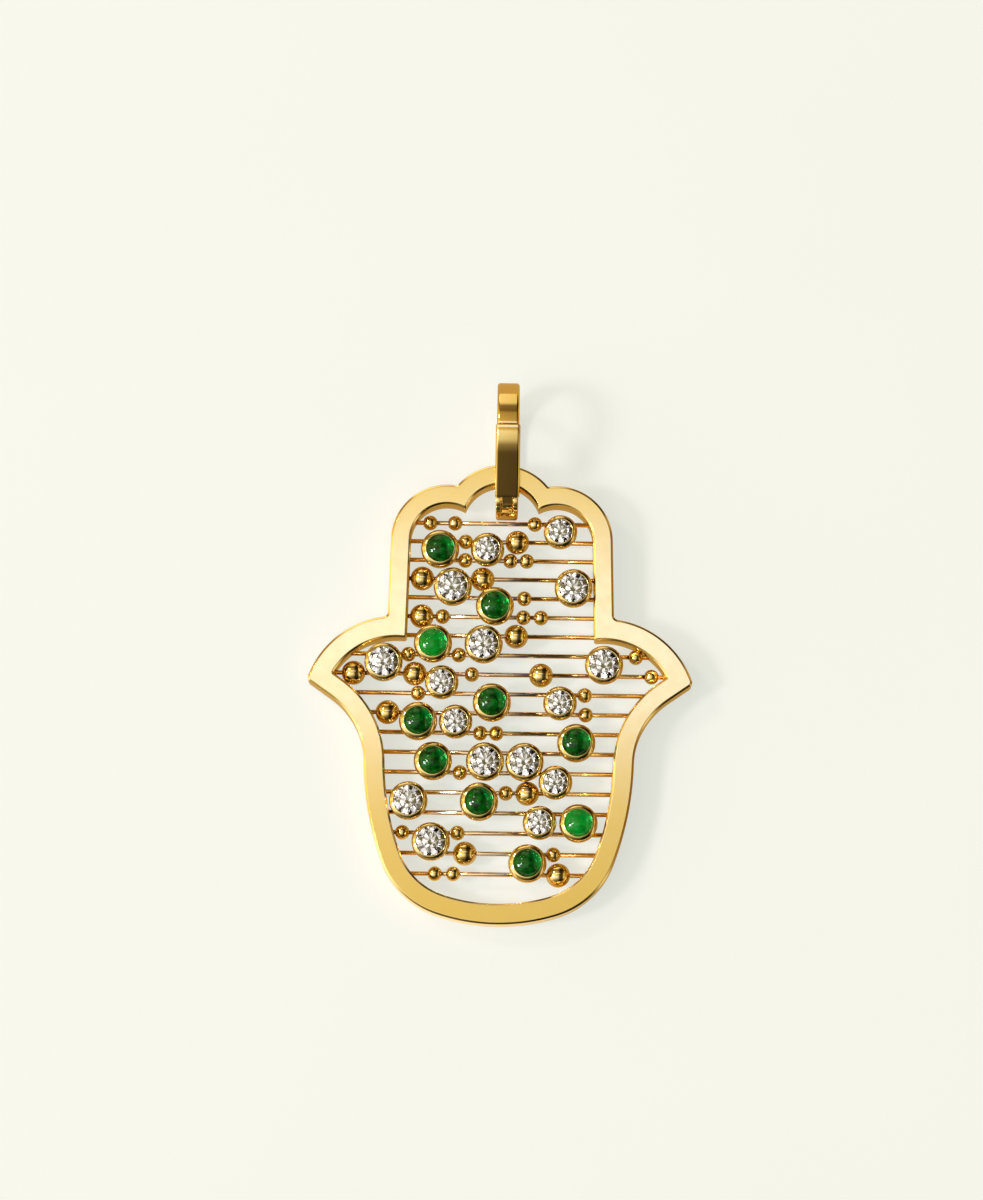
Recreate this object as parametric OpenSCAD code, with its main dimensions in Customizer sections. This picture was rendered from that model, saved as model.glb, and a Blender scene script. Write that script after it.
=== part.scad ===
// Hamsa pendant: a pierced hand plate crossed by wires that carry beads and set stones,
// with a clip-on loop through its top arch. Lengths in millimetres, angles in degrees.
// The hand is drawn flat: x across, y up, z from its back to its face. It is then laid down,
// with the back edge of its palm and the loop on z = 0.

/* [Hand plate] */
// Thickness of the plate
plate_t = 2.9; // [2.4:0.1:3.4]
// Width of the metal round the lobe, the shoulders and the sides
head_wall = 1.96; // [1.5:0.02:2.2]
// Width of the metal along the tops of the wings
wing_wall = 2.15; // [1.6:0.05:2.4]
// Width of the metal along the undersides, the flanks and the palm
palm_wall = 2.05; // [1.6:0.05:2.3]

/* [Head] */
// Outer radius of the top lobe
lobe_r = 5.87; // [5.4:0.01:6.2]
// Height of the lobe's centre
lobe_y = 7.15; // [6.6:0.05:7.8]
// Outer radius of each shoulder
shoulder_r = 5.6; // [5.2:0.05:6]
// Distance of the shoulders' centres from the middle
shoulder_x = 5.45; // [5.2:0.05:6]
// Height of the shoulders' centres
shoulder_y = 5.36; // [5:0.02:5.8]
// Outward lean of the sides towards the wings
side_lean = 1.44; // [0:0.02:3]
// Radius in the corner between a side and its wing
waist_r = 0.45; // [0.2:0.05:0.8]

/* [Wings] */
// Outer radius of the top of a wing
wing_r = 9.3; // [9:0.05:9.6]
// Distance of the wing arcs' centres from the middle
wing_x = 10.31; // [10:0.01:10.8]
// Height of the wing arcs' centres
wing_y = -11.67; // [-12:0.01:-11.3]
// Slope of a wing's straight underside
under_slope = 35; // [32:0.5:38]
// Radius of a wing's tip
tip_r = 0.5; // [0.2:0.05:0.8]
// Radius of the hollow between a wing and the palm
hollow_r = 8; // [7.5:0.1:8.5]
// Distance of the hollows' centres from the middle
hollow_x = 21.38; // [21:0.02:22]
// Height of the hollows' centres
hollow_y = -17.07; // [-17.6:0.01:-16.6]

/* [Palm] */
// Radius of a flank
flank_r = 30.22; // [28:0.02:33]
// Angle at which a flank starts, seen from its centre
flank_start = -1.11; // [-3:0.01:1]
// Angle at which a flank ends
flank_end = -20.07; // [-22:0.01:-18]
// Radius of a palm corner
corner_r = 8.83; // [8:0.01:9.6]
// Radius of the palm's end
bottom_r = 19.4; // [17:0.1:22]

/* [Wires] */
// Diameter of a wire
wire_d = 0.45; // [0.35:0.01:0.5]
// Distance from the inside of the top arch down to the first wire
wire_drop = 3.79; // [3.6:0.01:4]
// Distance between the first two wires
wire_pitch = 1.871; // [1.84:0.001:1.9]
// Half of what each later gap gains on the one before, as a share of that distance
growth_share = 0.00267; // [0:0.00001:0.004]
// Length of wire let into the wall at each end
wire_seat = 0.7; // [0.4:0.05:0.9]
// Clearance round a wire, and beyond its end
wire_clear = 0.02; // [0.01:0.005:0.04]

/* [Beads] */
// Distance from the middle for which a place of 1 stands in the tables of beads and stones
place_x = 10; // [9.98:0.01:10.2]
// Diameter of a small bead
small_d = 1.48; // [1.2:0.02:1.5]
// Diameter of a large bead
large_d = 2.4; // [2:0.02:2.42]
// Least clearance between a bead or a collar and the wall beside it
wall_clear = 0.1; // [0.05:0.01:0.2]

/* [Collars] */
// Greatest diameter of a large diamond's collar
big_d = 3.8; // [3.6:0.02:3.8]
// Its diameter at the rim
big_rim_d = 3.45; // [3.3:0.01:3.5]
// Greatest diameter of a small diamond's collar
little_d = 3.34; // [3.2:0.02:3.36]
// Its diameter at the rim
little_rim_d = 2.9; // [2.8:0.02:3]
// Greatest diameter of an emerald's collar
green_d = 3.8; // [3.6:0.02:3.8]
// Its diameter at the rim
green_rim_d = 3.36; // [3.3:0.01:3.5]
// Height of the rims above the face of the plate
rim_rise = 0.4; // [0.2:0.05:0.6]
// Height of the collars' feet above the back of the plate
foot_rise = 0.45; // [0.3:0.05:0.6]
// Depth of the collars' widest place below their rims
belly_drop = 0.8; // [0.6:0.05:1]
// How far the collars' feet stand in from their widest place
foot_in = 0.5; // [0.4:0.02:0.6]
// How far the lip reaches in over a diamond
lip_w = 0.05; // [0.03:0.01:0.08]
// Thickness of the lip above the stone's edge
lip_t = 0.14; // [0.1:0.01:0.2]
// Radius of the hole through a collar's foot
foot_hole_r = 0.4; // [0.3:0.05:0.5]
// Clearance between a stone and its collar
seat_clear = 0.02; // [0.01:0.005:0.04]

/* [Stones] */
// Diameter of a large diamond
big_stone_d = 3.04; // [2.8:0.02:3.06]
// Diameter of a small diamond
little_stone_d = 2.5; // [2.3:0.02:2.52]
// Diameter of an emerald
green_stone_d = 2.94; // [2.8:0.02:2.96]
// Width of a diamond's table, as a share of its diameter
table_share = 0.57; // [0.5:0.01:0.64]
// Slope of a diamond's crown
crown_slope = 34.5; // [30:0.5:37]
// Slope of a diamond's pavilion
pavilion_slope = 40.5; // [38:0.5:42]
// Thickness of a diamond's girdle, as a share of its diameter
girdle_share = 0.03; // [0.02:0.005:0.05]
// Height of an emerald's dome
dome_h = 1.05; // [0.8:0.05:1.3]
// Thickness of an emerald below its dome
dome_foot = 0.25; // [0.15:0.05:0.4]

/* [Clip-on loop] */
// Thickness of the loop's band
band_t = 0.95; // [0.8:0.05:1.1]
// Width of the loop
loop_w = 2.2; // [1.9:0.05:2.4]
// Width of its gate
gate_w = 2.43; // [2.1:0.01:2.6]
// Outer radius of the loop's far end
far_r = 4.85; // [4.5:0.05:5.2]
// Outer radius of its near end
near_r = 2.9; // [2.7:0.05:3.1]
// Distance from the arch's top out to the far end's centre
far_reach = 3.12; // [2.8:0.02:3.6]
// Distance between the centres of the two ends
end_gap = 5.7; // [5.5:0.05:5.9]
// Sideways place of the loop on the arch
loop_x = 0.45; // [-1:0.05:1]
// Distance of the seam from the far end's centre, towards the hinge
seam_back = 0.28; // [0:0.02:0.6]
// Angle of the hinge round the near end, from straight up
hinge_turn = 40; // [34:1:46]
// Radius of the hinge knuckles
knuckle_r = 1.2; // [1.1:0.02:1.3]
// Width of the gate's tongue between the loop's two cheeks
tongue_w = 1.1; // [0.9:0.05:1.2]
// Diameter of the hinge pin
pin_d = 0.8; // [0.6:0.05:0.9]
// Running clearance round the pin
pin_clear = 0.03; // [0.02:0.01:0.06]
// Clearance between the gate and the loop
gate_clear = 0.06; // [0.04:0.01:0.1]
// How far the gate opens
gate_open = 55; // [40:1:60]
// Distance along the gate from the hinge to its full width
gate_start = 0.8; // [0.7:0.02:1]
// Gap between the arch and the strap that it lies on
lie_gap = 0.05; // [0.03:0.01:0.1]

/* [Hidden] */
$fn = 96;

// Beads: wire counted from the top, place from the middle, diameter
BEAD_WIRE = 0;
BEAD_X = 1;
BEAD_D = 2;
beads = [
    [1, -0.718, small_d], [1, -0.47, small_d], [1, 0.328, small_d],
    [2, -0.36, small_d], [2, 0.154, large_d],
    [3, -0.363, small_d], [3, 0.088, small_d], [3, 0.251, small_d],
    [4, -0.788, large_d], [4, -0.186, large_d],
    [5, 0.232, small_d],
    [6, -0.788, large_d], [6, -0.58, small_d], [6, 0.225, small_d], [6, 0.4, small_d],
    [7, 0.155, large_d],
    [8, -0.914, small_d], [8, -0.413, small_d], [8, 1.349, small_d],
    [9, -1.457, large_d], [9, -0.848, large_d], [9, -0.281, small_d],
    [9, 0.408, large_d], [9, 1.506, small_d],
    [10, -0.812, small_d], [10, 0.845, small_d],
    [11, -1.112, large_d], [11, 0.856, small_d],
    [12, -0.188, small_d], [12, -0.029, small_d],
    [14, -0.385, small_d],
    [15, 0.074, small_d], [15, 0.287, large_d],
    [17, -0.945, small_d], [17, -0.4, small_d],
    [18, -0.323, large_d], [18, 0.552, small_d],
    [19, -0.617, small_d], [19, -0.436, small_d], [19, 0.602, large_d]];

// Diamonds: wire above the stone, place from the middle, 1 for a large stone
STONE_WIRE = 0;
STONE_X = 1;
STONE_BIG = 2;
diamonds = [
    [1, 0.583, 0], [2, -0.142, 0], [4, -0.483, 1], [4, 0.725, 1],
    [7, -0.167, 1], [8, -1.158, 1], [8, 1.032, 1], [9, -0.577, 0],
    [10, 0.599, 0], [11, -0.434, 0], [13, -0.136, 1], [13, 0.255, 1],
    [14, 0.564, 0], [15, -0.888, 1], [16, 0.412, 0], [17, -0.66, 1]];

// Emeralds: wire above the stone, place from the middle
emeralds = [
    [2, -0.614], [5, -0.061], [7, -0.671], [10, -0.077], [11, -0.805],
    [12, 0.765], [13, -0.653], [15, -0.19], [16, 0.796], [18, 0.297]];

// Arcs that run into each other overlap by this much, so that their crossing is clean
tuck = 0.01;

// Number of cross wires
wire_n = 19;

function polar(r, a) = [r * cos(a), r * sin(a)];
function mix(a, b, k) = a + (b - a) * k;

// Centres of the arcs, and the points where they meet
hollow_c = [hollow_x, hollow_y];
flank_c = hollow_c - polar(flank_r + hollow_r, flank_start);
corner_c = flank_c + polar(flank_r - corner_r, flank_end);
bottom_c = [0, corner_c.y + sqrt(pow(bottom_r - corner_r, 2) - pow(corner_c.x, 2))];
bottom_half = asin(corner_c.x / (bottom_r - corner_r));
wing_c = [wing_x, wing_y];
under_dir = [cos(under_slope), sin(under_slope)];
under_up = [-sin(under_slope), cos(under_slope)];
palm_end_y = bottom_c.y - bottom_r;
arch_top_y = lobe_y + lobe_r;
arch_in_y = arch_top_y - head_wall;

// Start of a side and of an underside, inset by the width of the metal
function side_pt(h) = [shoulder_x, shoulder_y] + polar(shoulder_r - h, side_lean);
function under_pt(p) = hollow_c + polar(hollow_r + p, 90 + under_slope);
function hollow_pt(p) = hollow_c - polar(hollow_r + p, flank_start);
function side_x(h, y) = side_pt(h).x + (side_pt(h).y - y) * tan(side_lean);

module pair2() {
    children();
    mirror([1, 0, 0]) children();
}

// The hand as a block t thick, inset by h round its head, by w along the wing tops
// and by p below them
module hand(h, w, p, t) {
    low = hollow_pt(p).y;
    far = [flank_r - p + 3, flank_r - p - 13];
    difference() {
        union() {
            translate([0, lobe_y, 0]) cylinder(r = lobe_r - h, h = t);
            pair2() translate([shoulder_x, shoulder_y, 0]) cylinder(r = shoulder_r - h, h = t);
            linear_extrude(height = t) polygon([
                [side_x(h, side_pt(h).y) - tuck, side_pt(h).y],
                [side_x(h, low) - tuck, low],
                [tuck - side_x(h, low), low],
                [tuck - side_x(h, side_pt(h).y), side_pt(h).y]]);
            pair2() intersection() {
                translate(concat(wing_c, 0)) cylinder(r = wing_r - w, h = t);
                linear_extrude(height = t) polygon([under_pt(p), under_pt(p) + 9 * under_dir,
                    [under_pt(p).x + 9, 0], [0, 0], [0, low], hollow_pt(p)]);
            }
            pair2() intersection() {
                translate(concat(flank_c, 0)) cylinder(r = flank_r - p, h = t);
                linear_extrude(height = t) polygon([
                    flank_c + polar(far[1], flank_start), flank_c + polar(far[0], flank_start),
                    flank_c + polar(far[0], flank_end), flank_c + polar(far[1], flank_end)]);
            }
            pair2() translate(concat(corner_c, 0)) cylinder(r = corner_r - p + tuck, h = t);
            intersection() {
                translate(concat(bottom_c, 0)) cylinder(r = bottom_r - p, h = t);
                linear_extrude(height = t) polygon([bottom_c,
                    bottom_c + polar(bottom_r + 3, -90 - bottom_half),
                    bottom_c + polar(bottom_r + 3, -90 + bottom_half)]);
            }
        }
        pair2() translate([hollow_c.x, hollow_c.y, -t])
            cylinder(r = hollow_r + p + tuck, h = 3 * t);
    }
}

// Small fill between a side and its wing
side_dir = [sin(side_lean), -cos(side_lean)];
side_out = [cos(side_lean), sin(side_lean)];
waist_v = side_pt(0) + side_out * waist_r - wing_c;
waist_s = -(waist_v * side_dir) - sqrt(pow(waist_v * side_dir, 2) - waist_v * waist_v
    + pow(wing_r + waist_r, 2));
waist_c = side_pt(0) + side_out * waist_r + side_dir * waist_s;
module waist_fill() {
    difference() {
        polygon([waist_c, waist_c - side_out * (waist_r + 0.3),
            waist_c - side_out * (waist_r + 0.3) + side_dir * (waist_r + 0.6),
            mix(waist_c, wing_c, (waist_r + 0.3) / (wing_r + waist_r))]);
        translate(waist_c) circle(r = waist_r + tuck);
    }
}

// Corner taken off at a wing's tip
tip_v = under_pt(0) + under_up * tip_r - wing_c;
tip_s = -(tip_v * under_dir) + sqrt(pow(tip_v * under_dir, 2) - tip_v * tip_v
    + pow(wing_r - tip_r, 2));
tip_c = under_pt(0) + under_up * tip_r + under_dir * tip_s;
module tip_cut() {
    out = (tip_c - wing_c) / (wing_r - tip_r);
    difference() {
        polygon([tip_c, tip_c + out * (tip_r + 0.5),
            tip_c + out * (tip_r + 0.5) + under_dir * 2,
            tip_c - under_up * (tip_r + 0.5) + under_dir * 2,
            tip_c - under_up * (tip_r + 0.5)]);
        translate(tip_c) circle(r = tip_r + tuck);
    }
}

// Half of the opening's width at height y
function head_x(y) = y > side_pt(head_wall).y
    ? shoulder_x + sqrt(pow(shoulder_r - head_wall, 2) - pow(y - shoulder_y, 2))
    : side_x(head_wall, y);
function wing_top_x(y) = abs(y - wing_y) < wing_r - wing_wall
    ? wing_x + sqrt(pow(wing_r - wing_wall, 2) - pow(y - wing_y, 2)) : 0;
function under_x(y) = under_pt(palm_wall).x + (y - under_pt(palm_wall).y) / tan(under_slope);
function disc_x(c, r, y) = c.x + sqrt(r * r - pow(y - c.y, 2));
flank_low_y = (flank_c + polar(flank_r - palm_wall, flank_end)).y;
function low_x(y) = y > under_pt(palm_wall).y ? min(wing_top_x(y), under_x(y))
    : y > hollow_pt(palm_wall).y ? 2 * hollow_x - disc_x(hollow_c, hollow_r + palm_wall, y)
    : y > flank_low_y ? disc_x(flank_c, flank_r - palm_wall, y)
    : disc_x(corner_c, corner_r - palm_wall, y);
function open_x(y) = y > wing_y ? max(head_x(y), low_x(y)) : low_x(y);

// Height of wire n, counted from 1 at the top
function wire_y(n) = arch_in_y - wire_drop - (n - 1) * wire_pitch
    * (1 + growth_share * (n - 2));
function row_y(n) = (wire_y(n) + wire_y(n + 1)) / 2;
function row_half(n) = (wire_y(n) - wire_y(n + 1)) / 2;
wire_z = plate_t / 2;

// Place across the opening, kept off the wall
function seat_x(u, y, r) = sign(u) * min(abs(u) * place_x, open_x(y) - r - wall_clear);

module across(r, half, y) {
    translate([-half, y, wire_z]) rotate([0, 90, 0]) cylinder(r = r, h = 2 * half);
}

// Angle at which the hand lies: palm edge on the floor, arch over the loop's strap
tilt = asin((band_t + lie_gap) / (arch_in_y - palm_end_y));
loop_far_y = (arch_top_y - palm_end_y) * cos(tilt) + far_reach;
low_y = -plate_t * sin(tilt);
high_y = loop_far_y + far_r;
mid_y = (low_y + high_y) / 2;

module laid() {
    translate([0, -mid_y, 0]) rotate([tilt, 0, 0]) translate([0, -palm_end_y, 0]) children();
}

module frame() {
    color("gold") laid() difference() {
        union() {
            hand(0, 0, 0, plate_t);
            pair2() linear_extrude(height = plate_t) waist_fill();
        }
        pair2() translate([0, 0, -plate_t]) linear_extrude(height = 3 * plate_t) tip_cut();
        translate([0, 0, -plate_t]) hand(head_wall, wing_wall, palm_wall, 3 * plate_t);
        for (n = [1:wire_n])
            across(wire_d / 2 + wire_clear, open_x(wire_y(n)) + wire_seat + wire_clear, wire_y(n));
    }
}

module cross_wires() {
    color("goldenrod") laid() for (n = [1:wire_n])
        across(wire_d / 2, open_x(wire_y(n)) + wire_seat, wire_y(n));
}

module bead_set(d) {
    for (b = beads)
        if (b[BEAD_D] == d) {
            y = wire_y(b[BEAD_WIRE]);
            translate([seat_x(b[BEAD_X], y, d / 2), y, wire_z]) rotate([0, 90, 0])
                difference() {
                    sphere(r = d / 2);
                    translate([0, 0, -d]) cylinder(r = wire_d / 2 + wire_clear, h = 2 * d);
                }
        }
}

module small_beads() {
    color("gold") laid() bead_set(small_d);
}

module large_beads() {
    color("orange") laid() bead_set(large_d);
}

// Collars: one arc from the foot to the widest place and one up to the rim, as short cones
rim_z = plate_t + rim_rise;
belly_z = rim_z - belly_drop;
function arc_in(h, in, z) = let (r = (h * h + in * in) / (2 * in))
    r - sqrt(r * r - pow(z - belly_z, 2));
function skin_r(d, rim_d, z) = d / 2 - (z < belly_z
    ? arc_in(belly_z - foot_rise, foot_in, z)
    : arc_in(belly_drop, (d - rim_d) / 2, z));
foot_steps = 5;
rim_steps = 4;
function skin(d, rim_d) = concat(
    [for (k = [0:foot_steps - 1]) let (z = mix(foot_rise, belly_z, k / foot_steps))
        [skin_r(d, rim_d, z), z]],
    [for (k = [0:rim_steps]) let (z = mix(belly_z, rim_z, k / rim_steps))
        [skin_r(d, rim_d, z), z]]);

// Levels of the stones: top of the girdle, and the edge of a dome
girdle_z = rim_z - lip_t;
function girdle_t(d) = girdle_share * d;

// A cone below the girdle, parallel to the diamond's pavilion
function bore_of_diamond(d) = let (
        r = d / 2 + seat_clear,
        z = girdle_z - girdle_t(d) - seat_clear)
    [[r - lip_w - seat_clear, rim_z], [r - lip_w - seat_clear, girdle_z + 2 * seat_clear],
        [r, girdle_z + 2 * seat_clear], [r, z],
        [foot_hole_r, z - (r - foot_hole_r) * tan(pavilion_slope)]];

// A flat ledge below the emerald, and a lip that leans in over its dome
dome_r = (pow(green_stone_d / 2, 2) + dome_h * dome_h) / (2 * dome_h);
function dome_x(h) = sqrt(pow(dome_r, 2) - pow(dome_r - dome_h + h, 2));
function bore_of_dome(d) = let (
        r = d / 2 + seat_clear,
        z = girdle_z - dome_foot - seat_clear)
    [[dome_x(lip_t) + seat_clear, rim_z], [r, girdle_z], [r, z], [foot_hole_r, z]];

module collar(d, rim_d, bore, half) {
    difference() {
        rotate_extrude() polygon(concat([[foot_hole_r, foot_rise]], skin(d, rim_d), bore));
        for (s = [-1, 1])
            translate([-d, s * half, wire_z]) rotate([0, 90, 0])
                cylinder(r = wire_d / 2 + wire_clear, h = 2 * d);
    }
}

function diamond_d(s) = s[STONE_BIG] == 1 ? big_stone_d : little_stone_d;
function collar_d(s) = s[STONE_BIG] == 1 ? big_d : little_d;
function collar_rim(s) = s[STONE_BIG] == 1 ? big_rim_d : little_rim_d;

module at_stone(s, d) {
    y = row_y(s[STONE_WIRE]);
    translate([seat_x(s[STONE_X], y, d / 2), y, 0]) children();
}

module diamond_bezels() {
    color("khaki") laid() for (s = diamonds)
        at_stone(s, collar_d(s))
            collar(collar_d(s), collar_rim(s), bore_of_diamond(diamond_d(s)), row_half(s[STONE_WIRE]));
}

module emerald_bezels() {
    color("darkkhaki") laid() for (s = emeralds)
        at_stone(s, green_d)
            collar(green_d, green_rim_d, bore_of_dome(green_stone_d), row_half(s[STONE_WIRE]));
}

// Round brilliant: table, stars, kites, halves, girdle, lower halves and pavilion mains
function ring(n, r, z, a0) = [for (k = [0:n - 1]) concat(polar(r, a0 + 360 / n * k), z)];
module brilliant(d) {
    r = d / 2;
    t = girdle_t(d);
    table_r = table_share * r;
    star_r = mix(table_r, r, 0.42);
    half_r = 0.25 * r;
    top = (r - table_r) * tan(crown_slope);
    star_z = top - (star_r * cos(22.5) - table_r) * tan(crown_slope);
    culet_z = -t - r * tan(pavilion_slope);
    half_z = culet_z + half_r * cos(22.5) * tan(pavilion_slope);
    points = concat(
        ring(8, table_r, top, 0),
        ring(8, star_r, star_z, 22.5),
        ring(16, r, 0, 0),
        ring(16, r, -t, 0),
        ring(8, half_r, half_z, 22.5),
        [[0, 0, culet_z]]);
    table = [[for (k = [7:-1:0]) k]];
    stars = [for (k = [0:7]) [k, (k + 1) % 8, 8 + k]];
    kites = [for (k = [0:7]) [k, 8 + k, 16 + 2 * k, 8 + (k + 7) % 8]];
    crown_a = [for (k = [0:7]) [8 + k, 17 + 2 * k, 16 + 2 * k]];
    crown_b = [for (k = [0:7]) [8 + k, 16 + (2 * k + 2) % 16, 17 + 2 * k]];
    girdle = [for (k = [0:15]) [16 + k, 16 + (k + 1) % 16, 32 + (k + 1) % 16, 32 + k]];
    low_a = [for (k = [0:7]) [48 + k, 32 + 2 * k, 33 + 2 * k]];
    low_b = [for (k = [0:7]) [48 + k, 33 + 2 * k, 32 + (2 * k + 2) % 16]];
    mains = [for (k = [0:7]) [56, 48 + (k + 7) % 8, 32 + 2 * k, 48 + k]];
    polyhedron(points = points, convexity = 2,
        faces = concat(table, stars, kites, crown_a, crown_b, girdle, low_a, low_b, mains));
}

module diamond_at(n) {
    s = diamonds[n - 1];
    color("white") laid() at_stone(s, collar_d(s))
        translate([0, 0, girdle_z]) rotate([0, 0, 37 * n]) brilliant(diamond_d(s));
}

// Domed stone: a cap of a sphere on a short cylinder
module emerald_at(n) {
    s = emeralds[n - 1];
    color("green") laid() at_stone(s, green_d) intersection() {
        translate([0, 0, girdle_z + dome_h - dome_r]) sphere(r = dome_r);
        translate([0, 0, girdle_z - dome_foot])
            cylinder(r = green_stone_d / 2, h = dome_foot + 2 * dome_h);
    }
}

module diamond_1() { diamond_at(1); }
module diamond_2() { diamond_at(2); }
module diamond_3() { diamond_at(3); }
module diamond_4() { diamond_at(4); }
module diamond_5() { diamond_at(5); }
module diamond_6() { diamond_at(6); }
module diamond_7() { diamond_at(7); }
module diamond_8() { diamond_at(8); }
module diamond_9() { diamond_at(9); }
module diamond_10() { diamond_at(10); }
module diamond_11() { diamond_at(11); }
module diamond_12() { diamond_at(12); }
module diamond_13() { diamond_at(13); }
module diamond_14() { diamond_at(14); }
module diamond_15() { diamond_at(15); }
module diamond_16() { diamond_at(16); }
module emerald_1() { emerald_at(1); }
module emerald_2() { emerald_at(2); }
module emerald_3() { emerald_at(3); }
module emerald_4() { emerald_at(4); }
module emerald_5() { emerald_at(5); }
module emerald_6() { emerald_at(6); }
module emerald_7() { emerald_at(7); }
module emerald_8() { emerald_at(8); }
module emerald_9() { emerald_at(9); }
module emerald_10() { emerald_at(10); }

// The loop's profile is drawn from the side: x is the pendant's length, y its height.
// Its zero is the far end's centre line on the floor.
far_c = [0, far_r];
near_c = [-end_gap, near_r];
pin_c = near_c + polar(near_r - knuckle_r, 90 + hinge_turn);
// Slope of the loop's front, and the direction square to it
front_slope = 2 * atan((far_r - near_r) / end_gap);
front_dir = polar(1, front_slope);
front_up = polar(1, 90 + front_slope);

module egg(t) {
    translate(far_c) circle(r = far_r - t);
    translate(near_c) circle(r = near_r - t);
    polygon([[0, t + tuck], far_c + front_up * (far_r - t - tuck),
        near_c + front_up * (near_r - t - tuck), [-end_gap, t + tuck]]);
}

module band() {
    difference() {
        egg(0);
        egg(band_t);
    }
}

// A wedge with its point at the pin, between two directions less than 180 apart
module wedge(a0, a1) {
    polygon([pin_c, pin_c + polar(30, a0), pin_c + polar(30, (a0 + a1) / 2),
        pin_c + polar(30, a1)]);
}

module knuckle(extra) {
    translate(pin_c) circle(r = knuckle_r + extra);
}

// Where the gate's full width starts, and the directions between which it sweeps when open
gate_corner = atan(knuckle_r / gate_start);
back_sweep = front_slope + 70;
wide_sweep = front_slope + gate_open + gate_corner + 4;
tongue_sweep = front_slope + gate_open + 4
    + asin(knuckle_r / (knuckle_r + gate_clear));
seam_x = -seam_back;

// Profile of the gate's own part of the band, from the seam to the hinge
module gate_band() {
    intersection() {
        band();
        polygon([pin_c, pin_c + front_dir * 2 - front_up * 4, [seam_x, far_r],
            [seam_x, 3 * far_r], pin_c + front_up * 9]);
    }
}

module side_extrude(w) {
    translate([loop_x - w / 2, loop_far_y - mid_y, 0]) rotate([90, 0, 90])
        linear_extrude(height = w) children();
}

module pin_hole(r, w) {
    translate([loop_x - w / 2, loop_far_y - mid_y + pin_c.x, pin_c.y]) rotate([0, 90, 0])
        cylinder(r = r, h = w);
}

// The band behind the hinge, the strap and the far end up to the seam
module loop_band(sweep) {
    difference() {
        band();
        polygon([pin_c, pin_c + front_dir * 2 - front_up * 4, [seam_x + gate_clear, far_r],
            [seam_x + gate_clear, 3 * far_r], pin_c + front_up * 9]);
        wedge(back_sweep, sweep);
    }
}

module bail_loop() {
    color("darkorange") difference() {
        union() {
            side_extrude(loop_w) union() {
                loop_band(wide_sweep);
                knuckle(0);
            }
        }
        side_extrude(tongue_w + 2 * gate_clear) union() {
            knuckle(gate_clear);
            wedge(wide_sweep - 30, tongue_sweep);
        }
        pin_hole(pin_d / 2 + pin_clear, 2 * loop_w);
    }
}

module bail_gate() {
    color("orange") difference() {
        union() {
            side_extrude(gate_w) difference() {
                gate_band();
                knuckle(gate_clear);
                polygon([pin_c + front_dir * gate_start + front_up * 5,
                    pin_c - front_dir * 5 + front_up * 5, pin_c - front_dir * 5 - front_up * 5,
                    pin_c + front_dir * gate_start - front_up * 5]);
            }
            side_extrude(tongue_w) union() {
                gate_band();
                knuckle(0);
            }
        }
        pin_hole(pin_d / 2 + pin_clear, 2 * loop_w);
    }
}

module bail_pin() {
    color("silver") pin_hole(pin_d / 2, loop_w - 2 * gate_clear);
}

frame();
cross_wires();
small_beads();
large_beads();
diamond_bezels();
emerald_bezels();
diamond_1();
diamond_2();
diamond_3();
diamond_4();
diamond_5();
diamond_6();
diamond_7();
diamond_8();
diamond_9();
diamond_10();
diamond_11();
diamond_12();
diamond_13();
diamond_14();
diamond_15();
diamond_16();
emerald_1();
emerald_2();
emerald_3();
emerald_4();
emerald_5();
emerald_6();
emerald_7();
emerald_8();
emerald_9();
emerald_10();
bail_loop();
bail_gate();
bail_pin();
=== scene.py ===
"""The looks of a hamsa pendant: a satin gold hand crossed by wires, beads and set stones."""
import math

import bmesh
import bpy
from mathutils import Matrix, Vector


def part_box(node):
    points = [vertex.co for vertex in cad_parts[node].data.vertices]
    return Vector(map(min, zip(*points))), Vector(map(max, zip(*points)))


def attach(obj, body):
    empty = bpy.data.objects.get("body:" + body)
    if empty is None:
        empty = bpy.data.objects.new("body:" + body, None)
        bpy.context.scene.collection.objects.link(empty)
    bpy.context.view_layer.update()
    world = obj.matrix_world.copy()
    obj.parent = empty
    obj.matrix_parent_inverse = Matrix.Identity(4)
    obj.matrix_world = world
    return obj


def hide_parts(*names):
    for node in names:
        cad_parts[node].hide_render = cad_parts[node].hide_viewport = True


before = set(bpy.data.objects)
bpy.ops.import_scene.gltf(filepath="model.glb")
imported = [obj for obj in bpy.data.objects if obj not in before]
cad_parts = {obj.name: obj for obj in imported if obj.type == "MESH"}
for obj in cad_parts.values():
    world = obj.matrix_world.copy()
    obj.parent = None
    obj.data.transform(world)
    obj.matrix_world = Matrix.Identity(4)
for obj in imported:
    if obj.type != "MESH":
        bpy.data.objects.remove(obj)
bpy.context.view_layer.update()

MM = 0.001

# Camera, from the photo of 983 by 1200 pixels. Its distances are in metres, its sensor in
# millimetres and its angles in degrees.
PHOTO_HEIGHT_PX = 1200
FOCAL_PX = 4990
SENSOR = 36.0
CAMERA_DISTANCE = 0.500
CAMERA_ELEVATION = 79.5
CAMERA_ROLL = 0.85
CLIP_START = 0.01
CLIP_END = 10
LOOK_AT = Vector((-0.953, 5.976, 0.0)) * MM

FLOOR_SIZE = 3.0

# The pendant's sizes are in millimetres and its angles in degrees. _R is a radius, _C a centre.

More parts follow.
